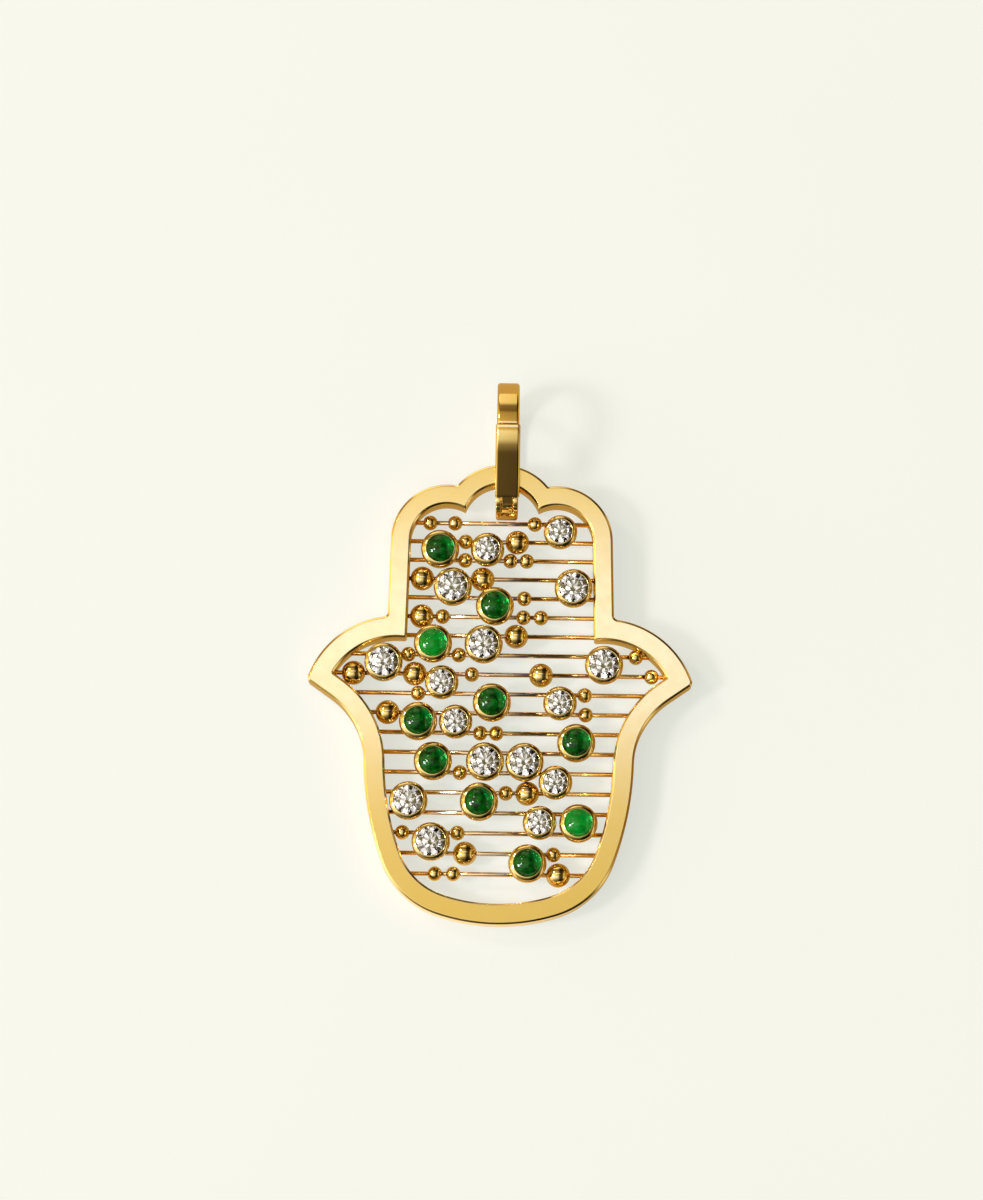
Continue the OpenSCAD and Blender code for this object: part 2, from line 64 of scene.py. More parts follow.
# Hand plate, drawn flat: x across, y up, z from its back to its face
PLATE_T = 2.9
HEAD_WALL = 1.96
WING_WALL = 2.15
PALM_WALL = 2.05
LOBE_R = 5.87
LOBE_C = Vector((0, 7.15))
SHOULDER_R = 5.6
SHOULDER_C = Vector((5.45, 5.36))
SIDE_LEAN = 1.44
WAIST_R = 0.45
WAIST_IN_R = 0.27
WING_R = 9.3
WING_C = Vector((10.31, -11.67))
UNDER_SLOPE = 35.0
TIP_R = 0.5
TIP_IN_R = 0.12
HOLLOW_R = 8.0
HOLLOW_C = Vector((21.38, -17.07))
FLANK_R = 30.22
FLANK_START = -1.11
FLANK_END = -20.07
CORNER_R = 8.83
BOTTOM_R = 19.4

# Soft edges of the plate. The front one reaches EDGE_IN over the face and EDGE_DOWN down the
# wall, and EDGE_SHAPE gives shares of the two. A flat strip follows each edge.
EDGE_IN = 0.19
EDGE_DOWN = 0.16
EDGE_SHAPE = ((0, 1), (0.02, 0.94), (0.07, 0.88), (0.5, 0.48), (0.92, 0.07), (0.97, 0.02), (1, 0))
BACK_EDGE = 0.15
BACK_EDGE_STEPS = 7
FLAT_STRIP = 0.05
LEAST_R = 0.02

# Beads, with the rim of the hole that each is threaded by
BEAD_HOLE_R = 0.3
HOLE_TAPER = 0.05
HOLE_DEPTH = 0.12
BEAD_STEPS = 28

# Collars. The diamonds' collars have the big opening where they are wider than WIDE_COLLAR_R.
WIDE_COLLAR_R = 1.8
BIG_OPENING_R = 1.44
LITTLE_OPENING_R = 1.17
GREEN_OPENING_R = 1.36
FOOT_IN = 0.5
FOOT_EDGE = 0.08
FOOT_START = 0.06
BELLY_DROP = 0.8
FLAT_RIM = 0.08
LIP_T = 0.14
SEAT_IN = 0.45

# Shoulder of a collar from its rim outwards: share of the width, first and last angle
SHOULDER_ARCS = ((0.72, 72, 40), (0.28, 40, 0))

# Inside of a collar from its rim down: how far out of the opening, and how far below the rim
COLLAR_INSIDE = (
    (0.05, 0),
    (0.02, 0.015),
    (0, 0.05),
    (0, LIP_T - 0.02),
    (0.05, LIP_T),
    (0.05, LIP_T + 0.12),
    (-SEAT_IN, LIP_T + 0.9))

# Emeralds: a straight side with a small bevel, up to where the dome starts
DOME_START = 0.25
DOME_BEVEL = 0.04
DOME_STEPS = 24

# Clip-on loop, drawn from the side: x along the pendant, y its height
BAND_T = 0.95
LOOP_W = 2.2
GATE_W = 2.43
TONGUE_W = 1.1
FAR_R = 4.85
NEAR_R = 2.9
END_GAP = 5.7
SEAM_BACK = 0.28
HINGE_TURN = 40.0
KNUCKLE_R = 1.2
KNUCKLE_EDGE = 0.1
PIN_BORE_R = 0.43
GATE_CLEAR = 0.06
GATE_START = 0.8
TONGUE_OVERLAP = 0.3
LIE_GAP = 0.05
SLOT_END = 147.5
CHEEK_OVERLAP = 4.0
CHEEK_END = 132.0

# Soft edges of the loop's band: outer and inner, and the same on its thin parts
LOOP_EDGE = 0.3
INNER_EDGE = 0.12
THIN_EDGE = 0.1
THIN_INNER_EDGE = 0.08

# Soft ends of the band. END_SHAPE gives shares of END_EDGE, inset and along the band.
END_EDGE = 0.06
END_SHAPE = ((1, 0), (0.3, 0.3), (0, 1))

# How deep the band's surface lies in its solid, and the share of a point's old place along the
# gate that keeps the points of its end in order
SKIN = 0.006
ORDER_SHARE = 0.03

# Steps round each turned form
WIRE_ROUND = 20
BEAD_ROUND = 48
COLLAR_ROUND = 72
DOME_ROUND = 64
KNUCKLE_ROUND = 64

# Numbers of stones, and which of the emeralds are paler
DIAMOND_COUNT = 16
EMERALD_COUNT = 10
BRIGHT_EMERALDS = (3, 9)

# Ranges of noise that become a material's two tones, an emerald's clouds and a stone's gloss
TONE_FROM = 0.3
TONE_TO = 0.7
CLOUD_FROM = 0.38
CLOUD_TO = 0.66
GLOSS_FROM = 0.4
GLOSS_TO = 0.8

# Painted light on an emerald's right rim: its colour turns to a painted glow where its surface turns
# from the first to the second of these shares of the way towards this direction
PAINTED_RIM_GLOW_WAY = (0.93, 0.36, 0)
PAINTED_RIM_GLOW_FROM = 0.36
PAINTED_RIM_GLOW_TO = 0.62

# Paper: its tone in the gold's mirrors, then its tones and its even glow as the camera sees it
PAPER_MIRRORED = (0.26, 0.22, 0.16)
PAPER_SEEN_LOW = (0.395, 0.37, 0.40)
PAPER_SEEN_HIGH = (0.405, 0.38, 0.41)
PAPER_SEEN_GLOW = (0.587, 0.634, 0.598)

# Painted light on the paper, seen only off the camera's path: a pool of glow in the gold's mirrors
# that grows from the first to the second of these distances in metres along this direction, from dim
# to bright, and an even grey glow through the stones
PAINTED_GLOW_WAY = (-0.45, -0.9, 0)
PAINTED_GLOW_FROM = 0.016
PAINTED_GLOW_TO = 0.032
PAINTED_GLOW_DIM = (0.35, 0.24, 0.08)
PAINTED_GLOW_BRIGHT = (1.1, 1.05, 0.9)
PAINTED_GLOW_THROUGH_STONES = (0.16, 0.15, 0.14)

# Light from the sky by direction. Each stop is a share from -1 to 1 and a colour.
SKY_STRENGTH = 3.2
SKY_Y = (
    (-1.0, (0.03, 0.025, 0.015)),
    (-0.90, (0.05, 0.04, 0.02)),
    (-0.68, (0.16, 0.14, 0.09)),
    (-0.50, (0.44, 0.43, 0.36)),
    (-0.20, (0.58, 0.57, 0.52)),
    (-0.08, (0.36, 0.29, 0.11)),
    (0.07, (0.46, 0.40, 0.19)),
    (0.16, (0.60, 0.55, 0.31)),
    (0.21, (0.42, 0.36, 0.16)),
    (0.26, (0.34, 0.26, 0.11)),
    (0.56, (0.25, 0.19, 0.08)),
    (0.63, (0.10, 0.07, 0.03)),
    (0.80, (0.14, 0.10, 0.05)),
    (0.88, (0.55, 0.49, 0.33)),
    (1.0, (0.60, 0.53, 0.35)))
SKY_X = (
    (-1.0, (0.85, 0.85, 0.85)),
    (-0.70, (0.90, 0.90, 0.90)),
    (-0.28, (0.78, 0.78, 0.78)),
    (-0.10, (0.60, 0.60, 0.62)),
    (0.10, (0.42, 0.42, 0.40)),
    (0.24, (0.07, 0.06, 0.035)),
    (0.60, (0.04, 0.03, 0.015)),
    (0.74, (0.14, 0.11, 0.06)),
    (0.82, (0.60, 0.54, 0.42)),
    (0.88, (0.60, 0.54, 0.42)),
    (0.94, (0.20, 0.13, 0.05)),
    (1.0, (0.16, 0.10, 0.04)))

# Light through the stones is grey: this range of the sky's brightness becomes 0 to STONE_LIGHT
STONE_DARK = 0.1
STONE_BRIGHT = 0.5
STONE_LIGHT = 0.86


# Points and angles

ORIGIN = Vector((0, 0))


def polar(r, degrees):
    a = math.radians(degrees)
    return Vector((r * math.cos(a), r * math.sin(a)))


def mix(a, b, share):
    return a + (b - a) * share


def spread(a, b, n):
    """Goes in n even steps from a to b, which are numbers or points."""
    return [mix(a, b, k / n) for k in range(n + 1)]


def arc_points(centre, r, start, end, n):
    """Goes round centre in n even steps from the angle start to end."""
    return [centre + polar(r, angle) for angle in spread(start, end, n)]


def angle_at(centre, p):
    return math.degrees(math.atan2(p.y - centre.y, p.x - centre.x))


def line_meets_circle(start, way, centre, r, side):
    """Where a line from start meets a circle: the far meeting for side 1, the near one for -1."""
    v = start - centre
    half = math.sqrt(v.dot(way) ** 2 - v.dot(v) + r ** 2)
    return start + way * (side * half - v.dot(way))


# Centres of the hand's arcs, worked out from their tangencies
flank_c = HOLLOW_C - polar(FLANK_R + HOLLOW_R, FLANK_START)
corner_c = flank_c + polar(FLANK_R - CORNER_R, FLANK_END)
bottom_c = Vector((0, corner_c.y + math.sqrt((BOTTOM_R - CORNER_R) ** 2 - corner_c.x ** 2)))
bottom_half = math.degrees(math.asin(corner_c.x / (BOTTOM_R - CORNER_R)))
palm_end_y = bottom_c.y - BOTTOM_R
arch_in_y = LOBE_C.y + LOBE_R - HEAD_WALL
under_dir = polar(1, UNDER_SLOPE)
under_up = polar(1, 90 + UNDER_SLOPE)
side_dir = polar(1, -90 + SIDE_LEAN)
side_out = polar(1, SIDE_LEAN)

# How the plate lies: palm edge on the floor, arch over the loop's strap
tilt = math.asin((BAND_T + LIE_GAP) / (arch_in_y - palm_end_y))
hand_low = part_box("frame")[0]
LAID = (Matrix.Translation((0, hand_low[1] / MM + PLATE_T * math.sin(tilt), 0))
        @ Matrix.Rotation(tilt, 4, "X")
        @ Matrix.Translation((0, -palm_end_y, 0)))
TO_PLATE = LAID.inverted() @ Matrix.Scale(1 / MM, 4)

# Places on the clip-on loop, and how its side view is turned into the frame
far_c = Vector((0, FAR_R))
near_c = Vector((-END_GAP, NEAR_R))
pin_c = near_c + polar(NEAR_R - KNUCKLE_R, 90 + HINGE_TURN)
front_slope = 2 * math.degrees(math.atan((FAR_R - NEAR_R) / END_GAP))
front_dir = polar(1, front_slope)
front_up = polar(1, 90 + front_slope)
loop_low, loop_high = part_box("bail_loop")
loop_x = (loop_low[0] + loop_high[0]) / 2 / MM
loop_far_y = loop_high[1] / MM - FAR_R
LOOP_PLACE = Matrix.Translation((loop_x, loop_far_y, 0)) @ Matrix(
    ((0, 0, 1, 0), (1, 0, 0, 0), (0, 1, 0, 0), (0, 0, 0, 1)))


# Mesh helpers

def make_object(name, verts, faces, material, body="pendant", place=LAID):
    """A mesh piece from points in millimetres, put in place, that rides on a body."""
    mesh = bpy.data.meshes.new(name)
    mesh.from_pydata([tuple((place @ Vector(v)) * MM) for v in verts], [], faces)
    bm = bmesh.new()
    bm.from_mesh(mesh)
    bmesh.ops.recalc_face_normals(bm, faces=bm.faces)
    bm.to_mesh(mesh)
    bm.free()
    mesh.polygons.foreach_set("use_smooth", [True] * len(mesh.polygons))
    mesh.materials.append(material)
    obj = bpy.data.objects.new(name, mesh)
    bpy.context.scene.collection.objects.link(obj)
    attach(obj, body)
    return obj


class Parts:
    """Collects the points and faces of several forms for one mesh."""

    def __init__(self):
        self.verts = []
        self.faces = []

    def add(self, verts, faces):
        n = len(self.verts)
        self.verts += [tuple(v) for v in verts]
        self.faces += [tuple(n + i for i in f) for f in faces]

    def revolve(self, profile, centre, steps, axis="Z", close=False):
        """Turns (radius, height) points about an axis through centre. A radius of 0 is a pole.
        close joins the last point to the first."""
        if close:
            profile = profile + [profile[0]]
        verts, rings = [], []
        for r, h in profile:
            around = arc_points(ORIGIN, r, 0, 360, steps)[:-1] if r else [ORIGIN]
            rings.append([len(verts) + k for k in range(len(around))])
            verts += [(h, p.x, p.y) if axis == "X" else (p.x, p.y, h) for p in around]
        faces = []
        for a, b in zip(rings, rings[1:]):
            for k in range(steps):
                j = (k + 1) % steps
                quad = [a[k % len(a)], a[j % len(a)], b[j % len(b)], b[k % len(b)]]
                faces.append(tuple(dict.fromkeys(quad)))
        c = Vector(centre)
        self.add([c + Vector(v) for v in verts], faces)

    def loft(self, rings, close=False):
        """Joins rings of equal length. close joins the last to the first, else ends are capped."""
        n = len(rings[0])
        faces = []
        for i in range(len(rings) if close else len(rings) - 1):
            a, b = i * n, (i + 1) % len(rings) * n
            for k in range(n):
                j = (k + 1) % n
                faces.append((a + k, a + j, b + j, b + k))
        if not close:
            faces.append(tuple(range(n)))
            faces.append(tuple(range((len(rings) - 1) * n, len(rings) * n)))
        self.add([v for ring in rings for v in ring], faces)


# Hand plate

def notch_point(head):
    """Where the lobe's circle crosses the shoulder's, both inset by head."""
    lobe_r = LOBE_R - head
    shoulder_r = SHOULDER_R - head
    gap = SHOULDER_C - LOBE_C
    along = (lobe_r ** 2 - shoulder_r ** 2 + gap.length ** 2) / (2 * gap.length)
    up = math.sqrt(lobe_r ** 2 - along ** 2)
    unit = gap / gap.length
    return LOBE_C + unit * along + Vector((-unit.y, unit.x)) * up


def half_outline(head, wing, palm, tip, waist):
    """Right half of the outline, from the palm's end to the arch's top. Its stretches are inset by
    head, wing and palm, and tip and waist are the radii of its small turns. The count of steps at
    the end of each line never changes, so that outlines can be joined in rings."""
    under = HOLLOW_C + polar(HOLLOW_R + palm, 90 + UNDER_SLOPE)
    side = SHOULDER_C + polar(SHOULDER_R - head, SIDE_LEAN)
    notch = notch_point(head)
    tip_c = line_meets_circle(under + under_up * tip, under_dir, WING_C, WING_R - wing - tip, 1)
    waist_c = line_meets_circle(side + side_out * waist, side_dir, WING_C, WING_R - wing + waist, -1)
    tip_angle = angle_at(WING_C, tip_c)
    waist_angle = angle_at(WING_C, waist_c)
    lines = [
        arc_points(bottom_c, BOTTOM_R - palm, -90, -90 + bottom_half, 10),
        arc_points(corner_c, CORNER_R - palm, -90 + bottom_half, FLANK_END, 18),
        arc_points(flank_c, FLANK_R - palm, FLANK_END, FLANK_START, 14),
        arc_points(HOLLOW_C, HOLLOW_R + palm, 180 + FLANK_START, 90 + UNDER_SLOPE, 14),
        spread(under, tip_c - under_up * tip, 4),
        arc_points(tip_c, tip, UNDER_SLOPE - 90, tip_angle, 10),
        arc_points(WING_C, WING_R - wing, tip_angle, waist_angle, 26),
        arc_points(waist_c, waist, waist_angle - 180, SIDE_LEAN - 180, 8),
        spread(waist_c - side_out * waist, side, 6),
        arc_points(SHOULDER_C, SHOULDER_R - head, SIDE_LEAN, angle_at(SHOULDER_C, notch), 22),
        arc_points(LOBE_C, LOBE_R - head, angle_at(LOBE_C, notch), 90, 18),
    ]
    return lines[0] + [p for line in lines[1:] for p in line[1:]]


def outline(inset, tip, waist, walls=(0, 0, 0)):
    """The closed outline, inset by the walls at head, wing and palm and by inset besides."""
    right = half_outline(*(wall + inset for wall in walls), tip, waist)
    left = [Vector((-p.x, p.y)) for p in reversed(right[1:-1])]
    return right + left


def build_plate(material):
    """The pierced hand as one skin, with a soft edge round both of its faces."""
    profile = [(BACK_EDGE + FLAT_STRIP, 0)]
    profile += arc_points(Vector((BACK_EDGE, BACK_EDGE)), BACK_EDGE, -90, -180, BACK_EDGE_STEPS)
    profile += [(EDGE_IN * over, PLATE_T - EDGE_DOWN * down) for over, down in EDGE_SHAPE]
    profile += [(EDGE_IN + FLAT_STRIP, PLATE_T)]
    rings = []
    for inset, z in profile:
        edge = outline(inset, TIP_R - inset, WAIST_R + inset)
        rings.append([(p.x, p.y, z) for p in edge])
    walls = (HEAD_WALL, WING_WALL, PALM_WALL)
    for inset, z in reversed(profile):
        inset = min(inset, WAIST_IN_R - LEAST_R)
        edge = outline(-inset, TIP_IN_R + inset, WAIST_IN_R - inset, walls)
        rings.append([(p.x, p.y, z) for p in edge])
    parts = Parts()
    parts.loft(rings, close=True)
    plate = make_object("hand_plate", parts.verts, parts.faces, material)
    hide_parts("frame")


# Wires, beads, collars and stones. Their places are read from the frame.

def islands(node):
    """Boxes of a CAD node's separate solids, in millimetres on the flat plate."""
    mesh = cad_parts[node].data
    key_of, ids = {}, []
    for v in mesh.vertices:
        key = tuple(round(c / MM, 3) for c in v.co)
        ids.append(key_of.setdefault(key, len(key_of)))
    root = list(range(len(key_of)))

    def find(i):
        while root[i] != i:
            root[i] = root[root[i]]
            i = root[i]
        return i

    for e in mesh.edges:
        a, b = (find(ids[i]) for i in e.vertices)
        root[a] = b
    boxes = {}
    for i, v in enumerate(mesh.vertices):
        p = TO_PLATE @ v.co
        lo, hi = boxes.setdefault(find(ids[i]), (p.copy(), p.copy()))
        for c in range(3):
            lo[c] = min(lo[c], p[c])
            hi[c] = max(hi[c], p[c])
    return sorted(boxes.values(), key=lambda b: (-b[0].y, b[0].x))


def build_wires(material):
    """Straight round wires, as long as their solids."""
    parts = Parts()
    for lo, hi in islands("cross_wires"):
        r = (hi.z - lo.z) / 2
        half = (hi.x - lo.x) / 2
        profile = [(0, -half), (r, -half), (r, half), (0, half)]
        parts.revolve(profile, (lo + hi) / 2, WIRE_ROUND, "X")
    wires = make_object("wires", parts.verts, parts.faces, material)
    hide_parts("cross_wires")


def build_beads(node, name, material):
    """Round beads with a soft rim where each is drilled for its wire."""
    parts = Parts()
    for lo, hi in islands(node):
        r = (hi.z - lo.z) / 2
        start = math.degrees(math.asin(BEAD_HOLE_R / r))
        inside = (BEAD_HOLE_R - HOLE_TAPER, r * math.cos(math.radians(start)) - HOLE_DEPTH)
        profile = [inside]
        profile += [(p.y, p.x) for p in arc_points(ORIGIN, r, start, 180 - start, BEAD_STEPS)]
        profile += [(inside[0], -inside[1])]
        parts.revolve(profile, (lo + hi) / 2, BEAD_ROUND, "X")
    beads = make_object(name, parts.verts, parts.faces, material)
    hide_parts(node)


def collar_profile(r, opening_r, low, high):
    """Outline of a collar: foot, rounded side, shoulder, and the inside from its rim down."""
    belly = high - BELLY_DROP
    side_r = ((belly - low) ** 2 + FOOT_IN ** 2) / (2 * FOOT_IN)

    def side(z):
        return r - side_r + math.sqrt(side_r ** 2 - (z - belly) ** 2)

    points = [(opening_r - SEAT_IN, low), (side(low + FOOT_EDGE) - FOOT_EDGE, low)]
    points += [(side(z), z) for z in spread(low + FOOT_START, belly, 8)]
    rim_r = opening_r + FLAT_RIM
    shoulder = [Vector((rim_r, high))]
    for share, first, last in SHOULDER_ARCS:
        arc_r = share * (r - rim_r) / (polar(1, last).x - polar(1, first).x)
        shoulder += arc_points(shoulder[-1] - polar(arc_r, first), arc_r, first, last, 7)[1:]
    points += reversed(shoulder)
    points += [(opening_r + out, high - down) for out, down in COLLAR_INSIDE]
    return points


def build_collars(node, name, material, little_opening_r, big_opening_r):
    """Round collars on the wires, each drawn from its solid's box."""
    parts = Parts()
    for lo, hi in islands(node):
        r = (hi.x - lo.x) / 2
        opening_r = big_opening_r if r > WIDE_COLLAR_R else little_opening_r
        profile = collar_profile(r, opening_r, lo.z, hi.z)
        centre = (lo + hi) / 2
        parts.revolve(profile, (centre.x, centre.y, 0), COLLAR_ROUND, close=True)
    collars = make_object(name, parts.verts, parts.faces, material)
    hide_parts(node)


def build_emerald(number, material):
    """A smooth dome on a short rim, in place of the plainer solid."""
    node = f"emerald_{number}"
    ((lo, hi),) = islands(node)
    r = (hi.x - lo.x) / 2
    edge = lo.z + DOME_START
    dome_h = hi.z - edge
    dome_r = (r * r + dome_h * dome_h) / (2 * dome_h)
    half = math.degrees(math.asin(r / dome_r))
    profile = [(0, lo.z), (r - DOME_BEVEL, lo.z), (r, lo.z + DOME_BEVEL), (r, edge)]
    profile += arc_points(Vector((0, hi.z - dome_r)), dome_r, 90 - half, 90, DOME_STEPS)[1:-1]
    profile += [(0, hi.z)]
    centre = (lo + hi) / 2
    parts = Parts()
    parts.revolve(profile, (centre.x, centre.y, 0), DOME_ROUND)
    stone = make_object(f"green_dome_{number}", parts.verts, parts.faces, material)
    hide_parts(node)
    return stone


# Clip-on loop

def section(width, edge_out, edge_in):
    """The band cut across, as (across, depth below the outer surface), with round corners."""
    half = width / 2
    right = arc_points(Vector((half - edge_out, edge_out)), edge_out, -90, 0, 6)
    right += arc_points(Vector((half - edge_in, BAND_T - edge_in)), edge_in, 0, 90, 4)
    left = [Vector((-p.x, p.y)) for p in reversed(right)]
    return right + left


def path_arc(centre, r, start, end, n):
    """Stations of a path: point on the outer surface, and its outward direction."""
    return [(centre + polar(r, angle), polar(1, angle)) for angle in spread(start, end, n)]


def path_line(a, b, out, n):
    return [(point, out) for point in spread(a, b, n)]


def ribbon(parts, path, width, edge_out, edge_in, shift=0.0, soft_ends=True):
    """The band along a path, moved across by shift. soft_ends rounds off its two ends."""
    shape = section(width, edge_out, edge_in)

    def ring(point, out, inset=0):
        made = []
        for x, deep in shape:
            x = math.copysign(max(abs(x) - inset, 0), x)
            p = point - out * min(max(deep, inset, SKIN), BAND_T - inset)
            made.append((p.x, p.y, x + shift))
        return made

    def end_rings(station, after):
        """Rings from a band's end face up to its full size."""
        point, out = station
        way = (after[0] - point).normalized()
        return [ring(point + way * END_EDGE * slide, out, END_EDGE * inset)
                for inset, slide in END_SHAPE]

    rings = [ring(point, out) for point, out in path]
    if soft_ends:
        first = end_rings(path[0], path[1])
        last = end_rings(path[-1], path[-2])
        rings = first + rings[1:-1] + last[::-1]
    parts.loft(rings)


def knuckle(parts, lo, hi, bore=0):
    """A short cylinder about the pin, with rounded rims, from lo to hi across the band. bore is
    the radius of its hole, or 0 for none."""
    middle = KNUCKLE_R - KNUCKLE_EDGE
    profile = [(bore, lo)]
    profile += arc_points(Vector((middle, lo + KNUCKLE_EDGE)), KNUCKLE_EDGE, -90, 0, 5)
    profile += arc_points(Vector((middle, hi - KNUCKLE_EDGE)), KNUCKLE_EDGE, 0, 90, 5)
    profile += [(bore, hi)]
    parts.revolve(profile, (pin_c.x, pin_c.y, 0), KNUCKLE_ROUND, close=bore > 0)


def seam_angle(back):
    """Angle on the loop's far turn of the point that lies back from its top."""
    return 90 + math.degrees(math.asin(back / FAR_R))


def build_loop(material):
    """The band from the seam round both turns and back to the hinge, and the hinge's cheeks."""
    parts = Parts()
    path = path_arc(far_c, FAR_R, seam_angle(SEAM_BACK - GATE_CLEAR), -90, 60)
    path += path_line(ORIGIN, Vector((-END_GAP, 0)), Vector((0, -1)), 8)[1:]
    path += path_arc(near_c, NEAR_R, 270, SLOT_END, 40)[1:]
    ribbon(parts, path, LOOP_W, LOOP_EDGE, INNER_EDGE)
    cheek_w = (LOOP_W - TONGUE_W) / 2 - GATE_CLEAR
    cheek_path = path_arc(near_c, NEAR_R, SLOT_END + CHEEK_OVERLAP, CHEEK_END, 8)
    for side in (-1, 1):
        middle = side * (LOOP_W - cheek_w) / 2
        knuckle(parts, middle - cheek_w / 2, middle + cheek_w / 2)
        ribbon(parts, cheek_path, cheek_w, THIN_EDGE, THIN_INNER_EDGE, middle, soft_ends=False)
    loop = make_object("clip_loop", parts.verts, parts.faces, material, place=LOOP_PLACE)
    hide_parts("bail_loop")


def hollow_end(points):
    """Moves points at the gate's lower end along it, clear of the loop's cheeks and in their
    old order."""
    reach = KNUCKLE_R + GATE_CLEAR
    made = []
    for x, y, z in points:
        v = Vector((x, y)) - pin_c
        up, along = v.dot(front_up), v.dot(front_dir)
        if abs(up) < reach and along < 2 * reach:
            along = max(along, math.sqrt(reach ** 2 - up ** 2) + ORDER_SHARE * along)
        p = pin_c + front_up * up + front_dir * along
        made.append((p.x, p.y, z))
    return made


def build_gate(material):
    """The front from the seam down to the hinge, with the tongue and knuckle on the pin."""
    parts = Parts()
    front_end = pin_c + front_up * KNUCKLE_R
    start = front_end + front_dir * GATE_START
    path = path_arc(far_c, FAR_R, seam_angle(SEAM_BACK), 90 + front_slope, 24)
    path += path_line(far_c + front_up * FAR_R, start, front_up, 12)[1:]
    ribbon(parts, path, GATE_W, LOOP_EDGE, INNER_EDGE)
    parts.verts = hollow_end(parts.verts)
    tongue = path_line(start + front_dir * TONGUE_OVERLAP, front_end, front_up, 6)
    ribbon(parts, tongue, TONGUE_W, THIN_EDGE, THIN_INNER_EDGE, soft_ends=False)
    knuckle(parts, -TONGUE_W / 2, TONGUE_W / 2, PIN_BORE_R)
    gate = make_object("clip_gate", parts.verts, parts.faces, material, "gate", place=LOOP_PLACE)
    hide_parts("bail_gate")


# Materials

class Tree:
    """Adds and joins the shader nodes of a material or of the world."""

    def __init__(self, owner):
        owner.use_nodes = True
        self.owner = owner
        self.nodes = owner.node_tree.nodes
        self.links = owner.node_tree.links
        self.coords = self.add("ShaderNodeTexCoord").outputs

    def fill(self, node, inputs):
        """Gives each named input a number, a colour, a direction or another node's output."""
        for key, value in inputs.items():
            socket = node.inputs[key]
            if isinstance(value, bpy.types.NodeSocket):
                self.links.new(value, socket)
            elif socket.type == "RGBA":
                socket.default_value = (*value, 1)
            else:
                socket.default_value = value

    def add(self, kind, inputs=None, **settings):
        """A new node with its settings and inputs."""
        node = self.nodes.new(kind)
        for key, value in settings.items():
            setattr(node, key, value)
        self.fill(node, inputs or {})
        return node

    def noise(self, scale, detail):
        inputs = {"Vector": self.coords["Object"], "Scale": scale, "Detail": detail}
        return self.add("ShaderNodeTexNoise", inputs).outputs["Fac"]

    def ramp(self, source, *stops):
        """Maps source to colours. Each stop is a place from 0 to 1 and a colour."""
        node = self.add("ShaderNodeValToRGB", {"Fac": source})
        elements = node.color_ramp.elements
        while len(elements) < len(stops):
            elements.new(0.5)
        for element, (place, colour) in zip(elements, stops):
            element.position = place
            element.color = (*colour, 1)
        return node.outputs["Color"]

    def span(self, source, low, high, a=0, b=1):
        """Maps source from low..high to the numbers a..b."""
        inputs = {"Value": source, "From Min": low, "From Max": high, "To Min": a, "To Max": b}
        return self.add("ShaderNodeMapRange", inputs).outputs["Result"]

    def blend(self, share, a, b, kind="MIX"):
        """Colour a, or b where share is 1, or with MULTIPLY their product."""
        inputs = {"Factor": share, "A": a, "B": b}
        return self.add("ShaderNodeMix", inputs, data_type="RGBA", blend_type=kind).outputs["Result"]

    def along(self, source, way):
        """How far the vector source goes along way."""
        node = self.add("ShaderNodeVectorMath", {0: source, 1: way}, operation="DOT_PRODUCT")
        return node.outputs["Value"]

    def bump(self, height, distance, strength):
        inputs = {"Height": height, "Distance": distance, "Strength": strength}
        return self.add("ShaderNodeBump", inputs).outputs["Normal"]


def make_material(name):
    """A material's nodes, and its surface shader."""
    tree = Tree(bpy.data.materials.new(name))
    return tree, tree.nodes["Principled BSDF"]


def gold(name, deep, bright, rough, grain, grain_depth):
    """Yellow gold whose tone and gloss vary slowly, with a fine grain or faint wear."""
    tree, shader = make_material(name)
    tree.fill(shader, {
        "Metallic": 1.0,
        "Base Color": tree.ramp(tree.noise(scale=260, detail=3), (TONE_FROM, deep), (TONE_TO, bright)),
        "Roughness": tree.span(tree.noise(scale=900, detail=4), TONE_FROM, TONE_TO, *rough),
        "Normal": tree.bump(tree.noise(grain, detail=5), grain_depth, strength=0.6)})
    return tree.owner


def diamond_material():
    """Clear, with a faint warm tint, a painted reflection of the gold around it."""
    tree, shader = make_material("diamond_clear")
    # Painted reflection: a faint warm tint for the gold mirrored in the stones, varying at random
    pale = (0.99, 0.922, 0.89)
    paler = (1.0, 0.942, 0.91)
    tree.fill(shader, {
        "Transmission Weight": 1.0,
        "IOR": 2.42,
        "Base Color": tree.ramp(tree.noise(scale=700, detail=2), (TONE_FROM, pale), (TONE_TO, paler)),
        "Roughness": tree.span(tree.noise(scale=1500, detail=2), GLOSS_FROM, GLOSS_TO, 0, 0.004)})
    return tree.owner


def emerald_material(name, low, high, glow):
    """Deep green with cloudy growth inside, and a painted glow on its right rim that stands in for
    light gathering there.
    """
    tree, shader = make_material(name)
    normal = tree.add("ShaderNodeNewGeometry").outputs["Normal"]
    # Painted light: the share of painted glow grows as the surface faces towards the right rim
    rim = tree.span(tree.along(normal, PAINTED_RIM_GLOW_WAY), PAINTED_RIM_GLOW_FROM, PAINTED_RIM_GLOW_TO)
    clouds = tree.ramp(tree.noise(scale=1600, detail=6), (CLOUD_FROM, low), (CLOUD_TO, high))
    tree.fill(shader, {
        "Transmission Weight": 0.85,
        "IOR": 1.38,
        # The painted glow colour is laid over the clouds by that share
        "Base Color": tree.blend(rim, clouds, glow),
        "Roughness": tree.span(tree.noise(scale=2500, detail=3), GLOSS_FROM, GLOSS_TO, 0, 0.01)})
    return tree.owner


